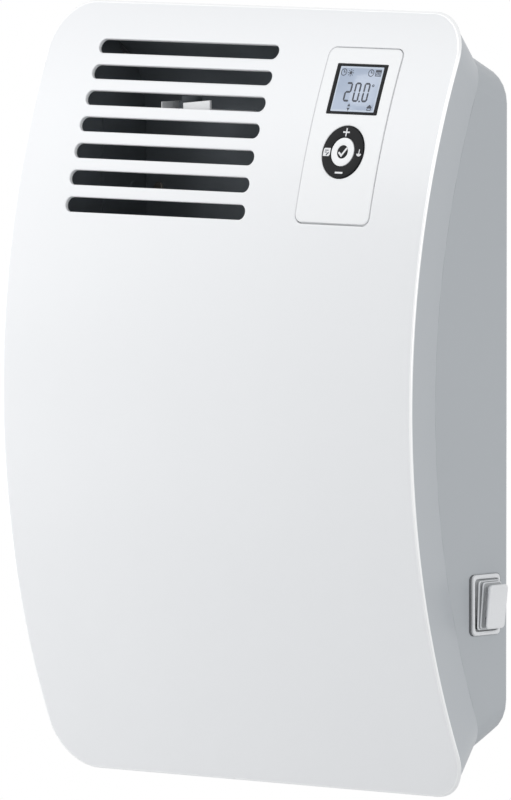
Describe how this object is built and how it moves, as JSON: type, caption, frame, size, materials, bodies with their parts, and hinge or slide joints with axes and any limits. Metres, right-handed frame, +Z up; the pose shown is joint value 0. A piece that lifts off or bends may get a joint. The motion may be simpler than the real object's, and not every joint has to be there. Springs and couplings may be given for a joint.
{
  "type": "convector heater",
  "caption": "Wall-hung electric convector heater with a bowed white front, outlet slots, a display with a four-way ring, and a side rocker switch.",
  "frame": {"origin": "centre of the wall bracket's four screw holes, on the wall plane", "axes": "+Y into the wall, +Z up, +X towards the side with the rocker switch; the front faces -Y"},
  "size_m": [0.33, 0.1129, 0.47],
  "materials": {
    "painted_steel": "satin white powder coat",
    "moulded_white": "satin white moulding",
    "dark_plastic": "gloss black",
    "display_pane": "pale blue-grey display",
    "switch_plastic": "matt white",
    "switch_rubber": "pale silicone",
    "grey_rubber": "matt",
    "zinc_steel": "zinc plated",
    "galvanised": "dark coated sheet",
    "aluminium_fin": "mill finish",
    "sheath": "heat toned",
    "ceramic": "matt",
    "brass": "plain",
    "board": "solder mask",
    "inner_plastic": "matt white",
    "blue_part": "gloss",
    "copper_coil": "wound coil and laminations",
    "film": "dipped",
    "green_plastic": "matt",
    "ribbon": "matt grey",
    "black_plastic": "matt"
  },
  "bodies": {
    "bracket": {"wall_bracket": "zinc_steel"},
    "heater": {"rear_housing": "painted_steel", "wall_pads": "grey_rubber", "front_cover": "painted_steel", "cover_screws": "zinc_steel", "intake_grille": "moulded_white", "heat_shield": "galvanised", "shield_screws": "zinc_steel", "duct_side": "galvanised", "duct_rivets": "zinc_steel", "partition_wall": "galvanised", "element_tube": "sheath", "element_fins": "aluminium_fin", "element_brackets": "zinc_steel", "element_bushes": "ceramic", "element_terminals": "brass", "cutout_holder": "inner_plastic", "thermal_cutout": "zinc_steel", "control_fascia": "moulded_white", "control_box": "inner_plastic", "lcd_frame": "dark_plastic", "lcd_pane": "display_pane", "lcd_module": "black_plastic", "display_board": "board", "board_screws": "zinc_steel", "key_mat": "grey_rubber", "board_carrier": "inner_plastic", "power_board": "board", "transformer": "copper_coil", "relay": "blue_part", "capacitor": "film", "board_terminals": "green_plastic", "ribbon_cable": "ribbon", "mains_terminal": "inner_plastic", "cable_gland": "moulded_white", "earth_stud": "brass", "room_sensor": "black_plastic", "sensor_clip": "inner_plastic", "switch_frame": "switch_plastic", "switch_body": "black_plastic", "switch_boot": "switch_rubber"},
    "ring_pivot": {"ring_pivot_frame": "inner_plastic"},
    "ring": {"nav_ring": "dark_plastic"},
    "middle_key": {"ok_key": "moulded_white", "ok_inlay": "dark_plastic"},
    "rocker": {"switch_rocker": "switch_plastic"}
  },
  "joints": [
    {"name": "heater_lift", "type": "slide", "parent": "bracket", "child": "heater", "axis": [0, 0, 1], "range_m": [0, 0.012]},
    {"name": "ring_rock_side", "type": "hinge", "parent": "heater", "child": "ring_pivot", "pos_m": [0.0915, -0.08471, 0.14926], "axis": [0, 0.2878, 0.9577], "range_deg": [-2, 2], "stiffness_Nm_per_rad": 0.5},
    {"name": "ring_rock_up", "type": "hinge", "parent": "ring_pivot", "child": "ring", "pos_m": [0.0915, -0.08662, 0.14983], "axis": [1, 0, 0], "range_deg": [-2, 2], "stiffness_Nm_per_rad": 0.5},
    {"name": "key_press", "type": "slide", "parent": "heater", "child": "middle_key", "axis": [0, 0.9577, -0.2878], "range_m": [0, 0.0008], "stiffness_N_per_m": 800},
    {"name": "switch_rock", "type": "hinge", "parent": "heater", "child": "rocker", "pos_m": [0.1514, -0.0312, -0.1202], "axis": [0, 1, 0], "range_deg": [-8, 0]}
  ]
}
